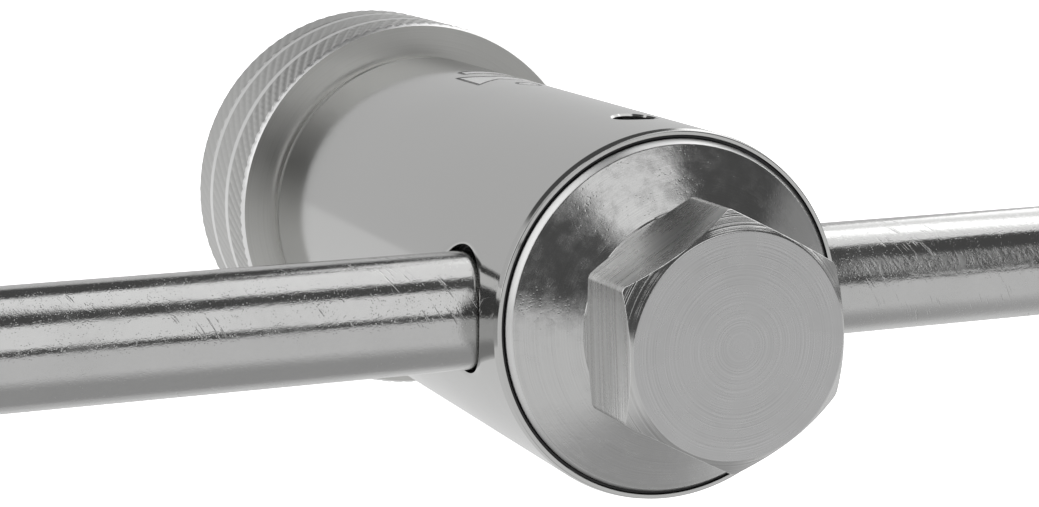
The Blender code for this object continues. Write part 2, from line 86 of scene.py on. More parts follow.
# Every inner corner of an outline becomes a parabola between two points one soft length away from
# it, with one more row outside each of them that keeps the faces beside the corner flat.
def softened(outline, softness):
    outline = [np.asarray(point, float) for point in outline]
    softness = np.broadcast_to(softness, len(outline))
    rows, owner = [outline[0]], []
    for index in range(1, len(outline) - 1):
        corner = outline[index]
        if softness[index] == 0:
            rows.append(corner)
            owner.append(index - 1)
            continue
        back, ahead = outline[index - 1] - corner, outline[index + 1] - corner
        backLength = np.linalg.norm(back, axis=-1, keepdims=True)
        aheadLength = np.linalg.norm(ahead, axis=-1, keepdims=True)
        reach = np.minimum(softness[index], mostOfSide * np.minimum(backLength, aheadLength))
        back, ahead = back / backLength * reach, ahead / aheadLength * reach
        rows.append(corner + flatRow * back)
        owner.append(index - 1)
        for share in np.linspace(0, 1, cornerSteps + 1):
            rows.append(corner + (1 - share) ** 2 * back + share ** 2 * ahead)
            owner.append(index - 1 if share <= 0.5 else index)
        rows.append(corner + flatRow * ahead)
        owner.append(index)
    rows.append(outline[-1])
    owner.append(len(outline) - 2)
    return np.stack(rows), np.array(owner)


# Radius and place along the axis, carried round the axis by the angles of turn: on axis y the
# point is (radius cos, place, radius sin), and likewise on x and z.
def roundAxis(radius, place, turn, axis="y", centre=(0, 0, 0)):
    across, up, place = radius * np.cos(turn), radius * np.sin(turn), place + 0 * turn
    order = {"x": (place, across, up), "y": (across, place, up), "z": (across, up, place)}[axis]
    return np.stack(order, -1) + np.array(centre, float)


def turnedSheet(outline, turn, softness=0.0, zones=0, axis="y", centre=(0, 0, 0)):
    blank = np.zeros(len(turn))
    outline = [np.stack([radius + blank, place + blank], -1) for radius, place in outline]
    rows, owner = softened(outline, softness)
    zone = np.asarray(zones)[owner] if np.ndim(zones) else zones
    return sheetOf(roundAxis(rows[..., 0], rows[..., 1], turn, axis, centre), zone)


# Two opposite sides of a window in a sheet and the other two, as one loop of points.
def windowLoop(points, firstRow, lastRow, firstColumn, lastColumn):
    return np.concatenate([
        points[firstRow, firstColumn:lastColumn],
        points[firstRow:lastRow, lastColumn],
        points[lastRow, lastColumn:firstColumn:-1],
        points[lastRow:firstRow:-1, firstColumn],
        points[firstRow, firstColumn:firstColumn + 1],
    ])


# The loop shrinks to the first ring in these shares of the way, then follows the other rings.
# A ring is (radius, height), and a height is a number or a function of the distance across.
holeShares = (0, 0.3, 0.6, 0.85, 1)


def holeSheet(loop, centre, axes, rings, bearing=None):
    across, along, outward = (np.array(axis, float) for axis in axes)
    apart = loop - np.array(centre, float)
    offAcross, offAlong = apart @ across, apart @ along
    if bearing is None:
        bearing = np.arctan2(offAlong, offAcross)
    base = np.dot(centre, across)

    def ring(acrossPart, alongPart, height):
        level = height(acrossPart + base) if callable(height) else height + 0 * acrossPart
        flat = np.array(centre, float) - np.dot(centre, outward) * outward
        return flat + np.outer(acrossPart, across) + np.outer(alongPart, along) + np.outer(level, outward)

    radius, height = rings[0]
    nearAcross, nearAlong = radius * np.cos(bearing), radius * np.sin(bearing)
    toAcross, toAlong = nearAcross - offAcross, nearAlong - offAlong
    rows = [
        ring(offAcross + share * toAcross, offAlong + share * toAlong, height)
        for share in holeShares
    ]
    for radius, height in rings[1:]:
        rows.append(ring(radius * np.cos(bearing), radius * np.sin(bearing), height))
    return sheetOf(np.stack(rows)), bearing


def roundHeight(radius, drop=0.0):  # how high a cylinder's skin lies at a distance across it
    return lambda across: np.sqrt(radius ** 2 - across ** 2) - drop


def linesThrough(stops, counts):  # even steps between the stops
    parts = [np.linspace(a, b, n + 1)[:-1] for a, b, n in zip(stops[:-1], stops[1:], counts)]
    return np.append(np.concatenate(parts), stops[-1])


# Sheets become one closed mesh on a body, in place of CAD nodes, with sharp edges above an angle.
def makePiece(name, sheets, finishes, body, nodes, edgeAngle=35):
    points, faces, zones, first = [], [], [], 0
    for sheet in sheets:
        rows, columns = sheet["points"].shape[:2]
        number = first + np.arange(rows * columns).reshape(rows, columns)
        quads = np.stack([number[:-1, :-1], number[:-1, 1:], number[1:, 1:], number[1:, :-1]], -1)
        if sheet["flip"] is not None:
            quads = np.where(sheet["flip"][..., None], np.roll(quads, 1, axis=-1), quads)
        zone = np.broadcast_to(np.reshape(sheet["zone"], (-1, 1)), (rows - 1, columns - 1))
        keep = np.ones((rows - 1, columns - 1), bool) if sheet["keep"] is None else sheet["keep"]
        points.append(sheet["points"].reshape(-1, 3))
        faces.append(quads[keep])
        zones.append(zone[keep])
        first += rows * columns
    mesh = bpy.data.meshes.new(name)
    mesh.from_pydata((np.concatenate(points) * mm).tolist(), [], np.concatenate(faces).tolist())
    mesh.polygons.foreach_set("material_index", np.concatenate(zones).astype(np.int32))
    shape = bmesh.new()
    shape.from_mesh(mesh)
    bmesh.ops.remove_doubles(shape, verts=shape.verts, dist=weldDistance)
    bmesh.ops.recalc_face_normals(shape, faces=shape.faces)
    openEdges = sum(1 for edge in shape.edges if len(edge.link_faces) != 2)
    shape.to_mesh(mesh)
    shape.free()
    for finish in finishes:
        mesh.materials.append(finish)
    mesh.shade_smooth()
    mesh.set_sharp_from_angle(angle=math.radians(edgeAngle))
    piece = bpy.data.objects.new(name, mesh)
    bpy.context.scene.collection.objects.link(piece)
    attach(piece, body)
    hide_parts(*nodes)
    print("made", name, len(mesh.polygons), "faces,", openEdges, "open edges")


# A socket that adds, multiplies and raises like a number.
class Wire:
    def __init__(self, shade, socket):
        self.shade, self.socket = shade, socket

    def of(self, output):
        return Wire(self.shade, self.socket.node.outputs[output])

    def __add__(self, other):
        return self.shade.maths("ADD", self, other)

    def __sub__(self, other):
        return self.shade.maths("SUBTRACT", self, other)

    def __rsub__(self, other):
        return self.shade.maths("SUBTRACT", other, self)

    def __mul__(self, other):
        return self.shade.maths("MULTIPLY", self, other)

    def __truediv__(self, other):
        return self.shade.maths("DIVIDE", self, other)

    def __rtruediv__(self, other):
        return self.shade.maths("DIVIDE", other, self)

    def __pow__(self, other):
        return self.shade.maths("POWER", self, other)

    __radd__ = __add__
    __rmul__ = __mul__


class Shade:
    def __init__(self, tree):
        self.tree = tree

    def node(self, kind, settings=None, sockets=None, output=0):
        made = self.tree.nodes.new(kind)
        for key, value in (settings or {}).items():
            setattr(made, key, value)
        for key, value in (sockets or {}).items():
            self.feed(made.inputs[key], value)
        return Wire(self, made.outputs[output])

    def feed(self, socket, value):
        if isinstance(value, Wire):
            self.tree.links.new(value.socket, socket)
        else:
            socket.default_value = value

    def maths(self, operation, *values):
        return self.node("ShaderNodeMath", {"operation": operation}, dict(enumerate(values)))

    def span(self, value, low, high, toLow=0.0, toHigh=1.0):  # smooth rise between two values
        ends = {"From Min": low, "From Max": high, "To Min": toLow, "To Max": toHigh, "Value": value}
        return self.node("ShaderNodeMapRange", {"interpolation_type": "SMOOTHSTEP"}, ends)

    def vector(self, x, y, z):
        return self.node("ShaderNodeCombineXYZ", None, {"X": x, "Y": y, "Z": z})

    def noise(self, vector, scale, detail=3.0, roughness=0.55, distortion=0.0):
        sockets = {
            "Vector": vector, "Scale": scale, "Detail": detail,
            "Roughness": roughness, "Distortion": distortion,
        }
        return self.node("ShaderNodeTexNoise", None, sockets)

    def cells(self, vector, scale):
        return self.node("ShaderNodeTexVoronoi", None, {"Vector": vector, "Scale": scale})

    def mix(self, share, first, second):
        sockets = {0: share, 6: first, 7: second}
        return self.node("ShaderNodeMix", {"data_type": "RGBA"}, sockets, output=2)

    def bump(self, height, distance, normal=None):
        sockets = {"Height": height, "Distance": distance, "Strength": 1.0}
        if normal is not None:
            sockets["Normal"] = normal
        return self.node("ShaderNodeBump", None, sockets)


# A material with its place in object coordinates at hand: x, y, z and the distance from the axis.
class Finish(Shade):
    def __init__(self, name, colour, roughness, metallic=1.0):
        self.material = bpy.data.materials.new(name)
        self.material.use_nodes = True
        super().__init__(self.material.node_tree)
        self.shader = self.tree.nodes["Principled BSDF"]
        self.set("Base Color", (*colour, 1.0))
        self.set("Roughness", roughness)
        self.set("Metallic", metallic)
        self.place = self.node("ShaderNodeTexCoord").of("Object")
        parts = self.node("ShaderNodeSeparateXYZ", None, {"Vector": self.place})
        self.x, self.y, self.z = parts.of("X"), parts.of("Y"), parts.of("Z")
        self.radius = (self.x * self.x + self.z * self.z) ** 0.5

    def set(self, name, value):
        self.feed(self.shader.inputs[name], value)

    def tint(self, share, dark, light):
        return self.mix(share, (*dark, 1.0), (*light, 1.0))

    def drawn(self, across, along):  # a place that changes faster along the body's axis
        return self.vector(self.x * across, self.y * along, self.z * across)


barrelLook = {
    "colour": (0.60, 0.60, 0.595), "shadeColour": (0.56, 0.56, 0.55), "roughness": 0.12,
    "lineScale": (30, 2600), "lineDepth": 0.0015 * mm, "cloudScale": 45.0, "broadScale": 14.0,
    "smudge": 0.05,
    "markDepth": 0.25 * mm, "markColour": (0.96, 0.96, 0.955), "markFrost": 1.0,
    # The mark's near-black edge colour is painted shadow round the sign.
    "markRoughness": 0.35, "markShadowColour": (0.04, 0.04, 0.04),
}


def barrelFinish():
    look = barrelLook
    shade = Finish("satinBarrel", look["colour"], look["roughness"])
    lines = shade.noise(shade.drawn(*look["lineScale"]), 1.0, 2.0)
    cloud = shade.noise(shade.place, look["cloudScale"], 4.0)
    broad = shade.noise(shade.place, look["broadScale"], 2.0)
    mark = stampedMark(shade)
    worn = shade.span(cloud, 0.35, 0.75) * look["smudge"] + lines * 0.03
    shade.set("Roughness", worn + (look["roughness"] - 0.03) + mark * look["markRoughness"])
    colour = shade.tint(broad, look["shadeColour"], look["colour"])
    colour = shade.mix(mark, colour, (*look["markColour"], 1.0))
    # A near-black line round the mark's edge: painted shadow round the sign.
    edge = shade.span(mark * (1 - mark), 0.02, 0.12)
    shade.set("Metallic", 1 - mark * look["markFrost"])
    shade.set("Base Color", shade.mix(edge, colour, (*look["markShadowColour"], 1.0)))
    fine = shade.bump(lines, look["lineDepth"])
    shade.set("Normal", shade.bump(1 - mark, look["markDepth"], fine))
    return shade.material


# A plain valve sign: two triangles that meet at a disc, a bar behind them and a dot in front.
signShape = {
    "middle": (2.4 * mm, 48.0 * mm), "soft": 0.45, "reach": 6.6, "slope": 0.7, "disc": 2.4,
    "apart": 8.2, "bar": (4.4, 1.3), "dot": 1.8,
}


def stampedMark(shade):
    shape = signShape
    across = (shade.x - shape["middle"][0]) / mm
    along = (shade.y - shape["middle"][1]) / mm
    far, high = shade.maths("ABSOLUTE", across), shade.maths("ABSOLUTE", along)
    onTop = shade.maths("GREATER_THAN", shade.z, 0.0)

    def inside(value, limit):
        return shade.span(value, limit + shape["soft"], limit - shape["soft"])

    triangles = inside(high - far * shape["slope"], 0.0) * inside(far, shape["reach"])
    disc = inside((across * across + along * along) ** 0.5, shape["disc"])
    behind, before = along - shape["apart"], along + shape["apart"]
    bar = inside(shade.maths("ABSOLUTE", behind), shape["bar"][1]) * inside(far, shape["bar"][0])
    dot = inside((across * across + before * before) ** 0.5, shape["dot"])
    return shade.maths("MINIMUM", (triangles + disc + bar + dot) * onTop, 1.0)


turnedDetail = {
    "wobbleScale": 70.0, "wobble": 0.2 * mm, "patchScale": 210.0, "speckScale": 2100.0,
    "speckRarity": 0.52, "scratchScale": 90.0, "scratchRarity": 0.84,
}
# Turned surfaces share one maker: rings round the axis, a cloudy stain that also bends the surface
# a little, small bright specks and fine scratches.
turnedLooks = {
    "cone": {
        "dark": (0.54, 0.54, 0.535), "light": (0.66, 0.66, 0.655), "roughness": 0.15, "stain": 0.14,
        "ringScale": 2400.0, "ringDepth": 0.002 * mm, "cloudScale": 430.0, "cloudDepth": 0.032 * mm,
        "speckDepth": 0.008 * mm, "scratchDepth": 0.008 * mm,
    },
    "chamfer": {
        "dark": (0.48, 0.48, 0.475), "light": (0.70, 0.70, 0.695), "roughness": 0.14, "stain": 0.06,
        "ringScale": 1900.0, "ringDepth": 0.070 * mm, "cloudScale": 300.0, "cloudDepth": 0.020 * mm,
        "speckDepth": 0.0, "scratchDepth": 0.006 * mm,
    },
    # The flange bevel's rim colour is paler than the rest of the closure's steel: a painted highlight
    # along the bevel.
    "rim": {
        "dark": (0.72, 0.72, 0.715), "light": (0.84, 0.84, 0.835), "roughness": 0.34, "stain": 0.04,
        "ringScale": 2200.0, "ringDepth": 0.002 * mm, "cloudScale": 200.0, "cloudDepth": 0.010 * mm,
        "speckDepth": 0.0, "scratchDepth": 0.0,
    },
    "end": {
        "dark": (0.47, 0.47, 0.47), "light": (0.62, 0.62, 0.62), "roughness": 0.25, "stain": 0.08,
        "ringScale": 3500.0, "ringDepth": 0.018 * mm, "cloudScale": 180.0, "cloudDepth": 0.010 * mm,
        "speckDepth": 0.0, "scratchDepth": 0.004 * mm,
    },
    "knob": {
        "dark": (0.57, 0.57, 0.55), "light": (0.65, 0.65, 0.635), "roughness": 0.29, "stain": 0.06,
        "ringScale": 2200.0, "ringDepth": 0.003 * mm, "cloudScale": 80.0, "cloudDepth": 0.010 * mm,
        "speckDepth": 0.0, "scratchDepth": 0.0,
    },
}


def turnedFinish(kind):
    look = {**turnedDetail, **turnedLooks[kind]}
    shade = Finish("turned_" + kind, look["light"], look["roughness"])
    wobble = shade.noise(shade.place, look["wobbleScale"], 2.0) * look["wobble"]
    distance = (shade.radius + shade.y + wobble) * look["ringScale"]
    patches = shade.noise(shade.place, look["patchScale"], 3.0, 0.6)
    arcs = shade.span(patches, 0.35, 0.65, 0.3, 1.0)  # rings fade in places
    rings = (shade.noise(distance, 1.0, 2.0, 0.65) - 0.5) * arcs + 0.5
    cloud = shade.noise(shade.place, look["cloudScale"], 6.0, 0.62)
    stain = shade.span(cloud, 0.38, 0.72)
    shade.set("Roughness", rings * 0.06 + stain * look["stain"] + (look["roughness"] - 0.03))
    share = cloud * 0.3 + shade.span(rings, 0.3, 0.7) * 0.7
    shade.set("Base Color", shade.tint(share, look["dark"], look["light"]))
    surface = shade.bump(cloud, look["cloudDepth"])
    surface = shade.bump(rings, look["ringDepth"], surface)
    if look["speckDepth"]:
        spots = specks(shade, look["speckScale"], look["speckRarity"])
        surface = shade.bump(1 - spots, look["speckDepth"], surface)
    if look["scratchDepth"]:
        lines = scratches(shade, look["scratchScale"], look["scratchRarity"])
        surface = shade.bump(1 - lines, look["scratchDepth"], surface)
    shade.set("Normal", surface)
    return shade.material


# Small round pits: the middles of cells, where a broad noise allows them.
def specks(shade, scale, rarity):
    allowed = shade.span(shade.noise(shade.place, scale * 0.22, 2.0), rarity - 0.06, rarity + 0.06)
    return shade.span(shade.cells(shade.place, scale), 0.34, 0.08) * allowed


# Fine scratches: where a stretched noise crosses its middle value, and a second noise allows it.
def scratches(shade, scale, rarity):
    stretch = shade.node("ShaderNodeMapping", None, {
        "Vector": shade.place, "Rotation": (0.5, 0.9, 0.4), "Scale": (scale * 0.25, scale * 3.0, scale),
    })
    web = shade.noise(stretch, 1.0, 0.0, 0.5, 0.15)
    thin = shade.span(shade.maths("ABSOLUTE", web - 0.5), 0.008, 0.0)
    return thin * shade.span(shade.noise(shade.place, scale * 3, 2.0), rarity - 0.34, rarity - 0.2)


flatLook = {
    "dark": (0.55, 0.55, 0.545), "light": (0.82, 0.82, 0.815), "roughness": 0.24,
    "millScale": (22, 1300), "coarseScale": (45, 420), "millDepth": 0.035 * mm,
    "cloudScale": 170.0, "cloudDepth": 0.025 * mm,
}


def flatFinish():
    look = flatLook
    shade = Finish("milledFlat", look["light"], look["roughness"])
    mill = shade.noise(shade.drawn(*look["millScale"]), 1.0, 3.0, 0.65, 0.2)
    coarse = shade.noise(shade.drawn(*look["coarseScale"]), 1.0, 2.0)
    cloud = shade.noise(shade.place, look["cloudScale"], 5.0, 0.65)
    lines = shade.span(mill, 0.3, 0.7) * 0.6 + coarse * 0.4
    shade.set("Roughness", mill * 0.12 + cloud * 0.12 + (look["roughness"] - 0.08))
    shade.set("Base Color", shade.tint(lines, look["dark"], look["light"]))
    surface = shade.bump(cloud, look["cloudDepth"])
    shade.set("Normal", shade.bump(lines, look["millDepth"], surface))
    return shade.material


tubeLook = {
    "dark": (0.53, 0.53, 0.525), "light": (0.62, 0.62, 0.615), "roughness": 0.10,
    "waveScale": 380.0, "waveDepth": 0.010 * mm, "grainScale": 1500.0, "grainDepth": 0.022 * mm,
    "pitScale": 2700.0, "pitRarity": 0.46, "pitDepth": 0.010 * mm, "cloudScale": 90.0,
    "streakScale": (2300, 170), "groupScale": 75.0, "chatterScale": (800, 420), "scuffScale": 60.0,
    "scuffDepth": 0.075 * mm, "scratchDepth": 0.03 * mm, "scratchSlant": 0.55,
    "scuffStart": (28 * mm, 38 * mm), "scuffLevel": 2.7 * mm, "scuffHeight": (1.9 * mm, 0.9 * mm),
}


# Bright plating over a drawn tube: slow waves along it, fine grain, pits, groups of slanted
# scratches, and on the right a scuffed strip at one height.
def tubeFinish():
    look = tubeLook
    shade = Finish("brightPlate", look["light"], look["roughness"])
    stretched = shade.vector(shade.x * 0.35, shade.y, shade.z)
    wave = shade.noise(stretched, look["waveScale"], 2.0, 0.5)
    grain = shade.noise(shade.vector(shade.x * 0.6, shade.y, shade.z), look["grainScale"], 4.0, 0.7)
    pits = specks(shade, look["pitScale"], look["pitRarity"])
    around = shade.maths("ARCTAN2", shade.z, shade.y) * (tubeShape["radius"] * mm)
    along = shade.x - around * look["scratchSlant"]
    across = around + shade.x * look["scratchSlant"]
    fast, slow = look["streakScale"]
    streaks = shade.noise(shade.vector(along * fast, across * slow, 0.0), 1.0, 1.0)
    groups = shade.span(shade.noise(shade.place, look["groupScale"], 3.0, 0.6), 0.55, 0.60)
    scratch = shade.span(streaks, 0.62, 0.72) * groups
    level = shade.maths("ABSOLUTE", shade.z - look["scuffLevel"])
    scuffed = shade.span(shade.noise(shade.place, look["scuffScale"], 3.0), 0.38, 0.52)
    scuffed = scuffed * shade.span(shade.x, *look["scuffStart"]) * shade.span(level, *look["scuffHeight"])
    fast, slow = look["chatterScale"]
    chatter = shade.noise(shade.vector(along * fast, across * slow, 0.0), 1.0, 3.0, 0.65, 1.6)
    cloud = shade.noise(shade.place, look["cloudScale"], 5.0, 0.65)
    rough = shade.span(cloud, 0.42, 0.72) * 0.10 + pits * 0.15 + scratch * 0.15 + scuffed * chatter * 0.3
    shade.set("Roughness", rough + look["roughness"])
    shade.set("Base Color", shade.tint(cloud * 0.6 + grain * 0.4, look["light"], look["dark"]))
    surface = shade.bump(wave, look["waveDepth"])
    surface = shade.bump(grain, look["grainDepth"], surface)
    surface = shade.bump(chatter * scuffed, look["scuffDepth"], surface)
    surface = shade.bump(1 - pits, look["pitDepth"], surface)
    shade.set("Normal", shade.bump(1 - scratch, look["scratchDepth"], surface))
    return shade.material


knurlLook = {
    "dark": (0.52, 0.52, 0.51), "light": (0.68, 0.68, 0.67), "roughness": 0.46,
    # The pale line colour is a painted highlight on the smooth lines and the front bevel.
    "lineHighlightColour": (0.92, 0.92, 0.915), "lineRoughness": 0.36, "grainScale": 1800.0,
    "grainDepth": 0.03 * mm,
}


# The crests are paler than the grooves, a painted shade in the grooves; the smooth lines and the front
# bevel are the palest, a painted highlight over their smoother finish.
def knurlFinish():
    look = knurlLook
    shade = Finish("knurledGrip", look["light"], look["roughness"])
    grain = shade.noise(shade.place, look["grainScale"], 4.0, 0.6)
    radius, front = knobShape["radius"] * mm, knobShape["face"] * mm
    bevel, width = knobShape["bevel"] * mm, knobShape["lineWidth"] * mm
    high = shade.span(shade.radius, radius - knobShape["knurlDepth"] * mm, radius)
    # The front bevel and the smooth lines take a near-white colour, a painted highlight, along with their
    # real lower roughness.
    smooth = shade.span(shade.y, front + bevel, front + 0.8 * bevel)
    for line in knobShape["lines"]:
        off = shade.maths("ABSOLUTE", shade.y - line * mm)
        smooth = smooth + shade.span(off, width, 0.5 * width)
    # Darker in the grooves and paler on the crests, mixed with grain: painted shade in the grooves.
    colour = shade.tint(high * 0.7 + grain * 0.3, look["dark"], look["light"])
    shade.set("Base Color", shade.mix(smooth, colour, (*look["lineHighlightColour"], 1.0)))
    rough = grain * 0.16 + (look["roughness"] - 0.08)
    shade.set("Roughness", rough + smooth * (look["lineRoughness"] - look["roughness"]))
    shade.set("Normal", shade.bump(grain * (1 - smooth), look["grainDepth"]))
    return shade.material


# The hidden and small pieces: one plain maker, with its own colours, grain and lines for each.
plainLooks = {
    "moulded rubber": {
        "dark": (0.010, 0.010, 0.011), "light": (0.022, 0.022, 0.023), "roughness": 0.55,
        "metallic": 0.0, "grain": 900.0, "lines": 0.0, "depth": 0.02 * mm,
    },
    "pressed plastic": {
        "dark": (0.74, 0.74, 0.71), "light": (0.86, 0.86, 0.83), "roughness": 0.42,
        "metallic": 0.0, "grain": 500.0, "lines": 900.0, "depth": 0.01 * mm,
    },
    "bearing bronze": {
        "dark": (0.50, 0.33, 0.16), "light": (0.66, 0.47, 0.25), "roughness": 0.30,
        "metallic": 1.0, "grain": 700.0, "lines": 1800.0, "depth": 0.008 * mm,
    },
    "blued spring": {
        "dark": (0.22, 0.22, 0.25), "light": (0.36, 0.36, 0.39), "roughness": 0.28,
        "metallic": 1.0, "grain": 600.0, "lines": 600.0, "depth": 0.004 * mm,
    },
    "machined steel": {
        "dark": (0.47, 0.47, 0.47), "light": (0.60, 0.60, 0.59), "roughness": 0.24,
        "metallic": 1.0, "grain": 500.0, "lines": 1900.0, "depth": 0.006 * mm,
    },
    "blacked screw": {
        "dark": (0.035, 0.035, 0.037), "light": (0.075, 0.075, 0.078), "roughness": 0.36,
        "metallic": 1.0, "grain": 1200.0, "lines": 0.0, "depth": 0.008 * mm,
    },
}


def plainFinish(kind):
    look = plainLooks[kind]
    shade = Finish(kind.replace(" ", "_"), look["light"], look["roughness"], look["metallic"])
    grain = shade.noise(shade.place, look["grain"], 4.0, 0.6)
    share = grain
    if look["lines"]:
        rings = shade.vector(shade.radius * look["lines"], shade.y * look["lines"], 0.0)
        lines = shade.noise(rings, 1.0, 2.0)
        share = grain * 0.4 + lines * 0.6
    shade.set("Base Color", shade.tint(share, look["dark"], look["light"]))
    shade.set("Roughness", share * 0.2 + (look["roughness"] - 0.1))
    shade.set("Normal", shade.bump(share, look["depth"]))
    return shade.material


plain = {kind: plainFinish(kind) for kind in plainLooks}
print("plain finishes made:", len(plain))


bodyShape = {
    "radius": highOf("valve_body", "z"), "front": lowOf("valve_body", "y"),
    "rear": highOf("valve_body", "y"), "bevel": 0.7, "frontBevel": (0.25, 1.0), "soft": 0.12,
    "seatRadius": 24.2, "seatFloor": -12.1, "threadBore": 19.1, "chamber": 17.0,
    "chamberFront": -9.4, "chamberRear": 12.6, "columns": 240,
    "outerStops": (-11.0, -5.5, 2.9, 11.0), "innerStops": (-8.2, -5.5, 2.9, 8.2),
    "lineCounts": (6, 8, 8), "plainStart": 15.0, "plainLines": 12,
    "mouth": 8.6, "mouthRim": 0.3, "mouthLift": 0.2, "groove": 9.6, "grooveEnds": (20.6, 22.4),
    "socket": 8.15, "socketFloor": 18.2, "port": 6.5,
    "rearFlat": 23.0, "rearBore": 15.0, "holeFloor": 20.0,
    "screwAt": (0.7, -1.3), "screwHole": 3.0, "pinAt": 20.0, "pinHole": 2.15, "pinFloor": 69.8,
}
windowReach = {"tube": 30.0, "screw": 15.0}  # half the angle that a window takes, in degrees


# The stepped bore as radius and place, from the rear face inwards to the plug chamber.
boreSteps = [
    (bodyShape["rearBore"], bodyShape["rear"]), (15.0, 73.7), (16.0, 73.7), (16.0, 72.2),
    (15.0, 72.2), (15.0, 66.0), (12.2, 66.0), (12.2, 46.0), (10.0, 46.0), (10.0, 24.0), (6.1, 24.0),
    (6.1, 16.4), (9.5, 16.4), (9.5, bodyShape["chamberRear"]),
    (bodyShape["chamber"], bodyShape["chamberRear"]),
]


# A cylinder's skin on even angles and given places, with a square window left open round each hole.
def windowedSkin(radius, places, turn, rowsOf, angleReach):
    points = roundAxis(radius + 0 * places[:, None], places[:, None], turn)
    keep = np.ones((len(places) - 1, len(turn) - 1), bool)
    loops = {}
    step = 360 / (len(turn) - 1)
    for name, (middle, kind) in angleReach.items():
        columns = [int(round((middle + side * windowReach[kind] + 90) / step)) for side in (-1, 1)]
        first, last = rowsOf[kind]
        keep[first:last, columns[0]:columns[1]] = False
        loops[name] = windowLoop(points, first, last, *columns)
    return sheetOf(points, 0, keep), loops


def valveBody():
    shape = bodyShape
    turn = circleOf(shape["columns"], -90.0)
    radius, bevel, soft = shape["radius"], shape["bevel"], shape["soft"]
    frontIn, frontAlong = shape["frontBevel"]
    lineCounts = shape["lineCounts"]
    frontEnd, rearEnd = shape["front"] + 2 * bevel, shape["rear"] - 2 * bevel
    outerLines = np.concatenate([
        [frontEnd], linesThrough(shape["outerStops"], lineCounts),
        np.linspace(shape["plainStart"], rearEnd, shape["plainLines"])])
    innerLines = np.concatenate([
        [shape["chamberFront"]], linesThrough(shape["innerStops"], lineCounts),
        [shape["chamberRear"]]])
    tubeRows = (1, 1 + sum(lineCounts))
    screwRows = (1 + lineCounts[0], 1 + sum(lineCounts[:2]))
    rowsOf = {"tube": tubeRows, "screw": screwRows}
    holes = {"outlet": (0.0, "tube"), "inlet": (180.0, "tube"), "screw": (90.0, "screw")}
    skin, outerLoops = windowedSkin(radius, outerLines, turn, rowsOf, holes)
    chamber, innerLoops = windowedSkin(shape["chamber"], innerLines, turn, rowsOf, holes)
    sheets = [skin, chamber]
    mouth, rim = shape["mouth"], shape["mouthRim"]
    for name, side in (("outlet", 1), ("inlet", -1)):
        axes = ((0, 0, side), (0, 1, 0), (side, 0, 0))
        rings = [
            (mouth + rim, roundHeight(radius)),
            (mouth + rim / 3, roundHeight(radius, rim / 3)),
            (mouth, roundHeight(radius, rim)),
            (mouth, shape["grooveEnds"][1]),
        ]
        outer, bearing = holeSheet(outerLoops[name], (0, 0, shape["mouthLift"]), axes, rings)
        rings = [(shape["port"], roundHeight(shape["chamber"])), (shape["port"], shape["socketFloor"])]
        inner, _ = holeSheet(innerLoops[name], (0, 0, 0), axes, rings, bearing)
        steps = [
            outer["points"][-1],
            *[ringAt(bearing, axes, size, place) for size, place in (
                (shape["groove"], shape["grooveEnds"][1]), (shape["groove"], shape["grooveEnds"][0]),
                (shape["socket"], shape["grooveEnds"][0]), (shape["socket"], shape["socketFloor"]))],
            inner["points"][-1],
        ]
        sheets += [outer, inner, sheetOf(np.stack(steps))]
    across, place = shape["screwAt"]
    axes = ((1, 0, 0), (0, 1, 0), (0, 0, 1))
    hole = shape["screwHole"]
    rings = [
        (hole + rim, roundHeight(radius)), (hole, roundHeight(radius, rim)), (hole, shape["holeFloor"])]
    outer, bearing = holeSheet(outerLoops["screw"], (across, place, 0), axes, rings)
    rings = [(hole, roundHeight(shape["chamber"])), (hole, shape["holeFloor"])]
    inner, _ = holeSheet(innerLoops["screw"], (across, place, 0), axes, rings, bearing)
    sheets += [outer, inner]
    front = [
        (radius, frontEnd), (radius, shape["front"] + frontAlong), (radius - frontIn, shape["front"]),
        (shape["seatRadius"], shape["front"]),
        (shape["seatRadius"], shape["seatFloor"]), (shape["threadBore"], shape["seatFloor"]),
        (shape["threadBore"], shape["chamberFront"]), (shape["chamber"], shape["chamberFront"]),
    ]
    sheets.append(turnedSheet(front, turn, [0, soft, soft, 0.06, 0, 0, 0, 0]))
    rear = [
        (radius, rearEnd), (radius, shape["rear"] - bevel), (radius - bevel, shape["rear"]),
        (shape["rearFlat"], shape["rear"]),
    ]
    sheets.append(turnedSheet(rear, turn, [0, soft, soft, 0]))
    sheets.append(rearFace(shape, turn))
    sheets.append(pinHole(shape, sheets[-1]["points"]))
    sheets.append(turnedSheet(boreSteps, turn))
    makePiece("valve_barrel", sheets, [barrelFinish()], "body", ["valve_body"])


def ringAt(bearing, axes, size, place):
    across, along, outward = (np.array(axis, float) for axis in axes)
    return (np.outer(size * np.cos(bearing), across) + np.outer(size * np.sin(bearing), along)
            + place * outward)


pinWindow = {"rows": (1, 7), "angles": (81.0, 99.0), "radii": (17.2, 22.8)}


def rearFace(shape, turn):
    inner, outer = pinWindow["radii"]
    radii = np.concatenate([[shape["rearBore"]], np.linspace(inner, outer, 7), [shape["rearFlat"]]])
    points = roundAxis(radii[:, None], shape["rear"] + 0 * radii[:, None], turn)
    keep = np.ones((len(radii) - 1, len(turn) - 1), bool)
    columns = pinColumns(turn)
    keep[slice(*pinWindow["rows"]), slice(*columns)] = False
    return sheetOf(points, 0, keep)


def pinColumns(turn):
    step = 360 / (len(turn) - 1)
    return [int(round((angle + 90) / step)) for angle in pinWindow["angles"]]


def pinHole(shape, points):
    loop = windowLoop(points, *pinWindow["rows"], *pinColumns(circleOf(shape["columns"])))
    wall, floor = shape["pinHole"], shape["pinFloor"]
    rings = [(wall, shape["rear"]), (wall, floor), (0.0, floor)]
    sheet, _ = holeSheet(loop, (0, 0, shape["pinAt"]), ((1, 0, 0), (0, 0, 1), (0, 1, 0)), rings)
    return sheet


valveBody()


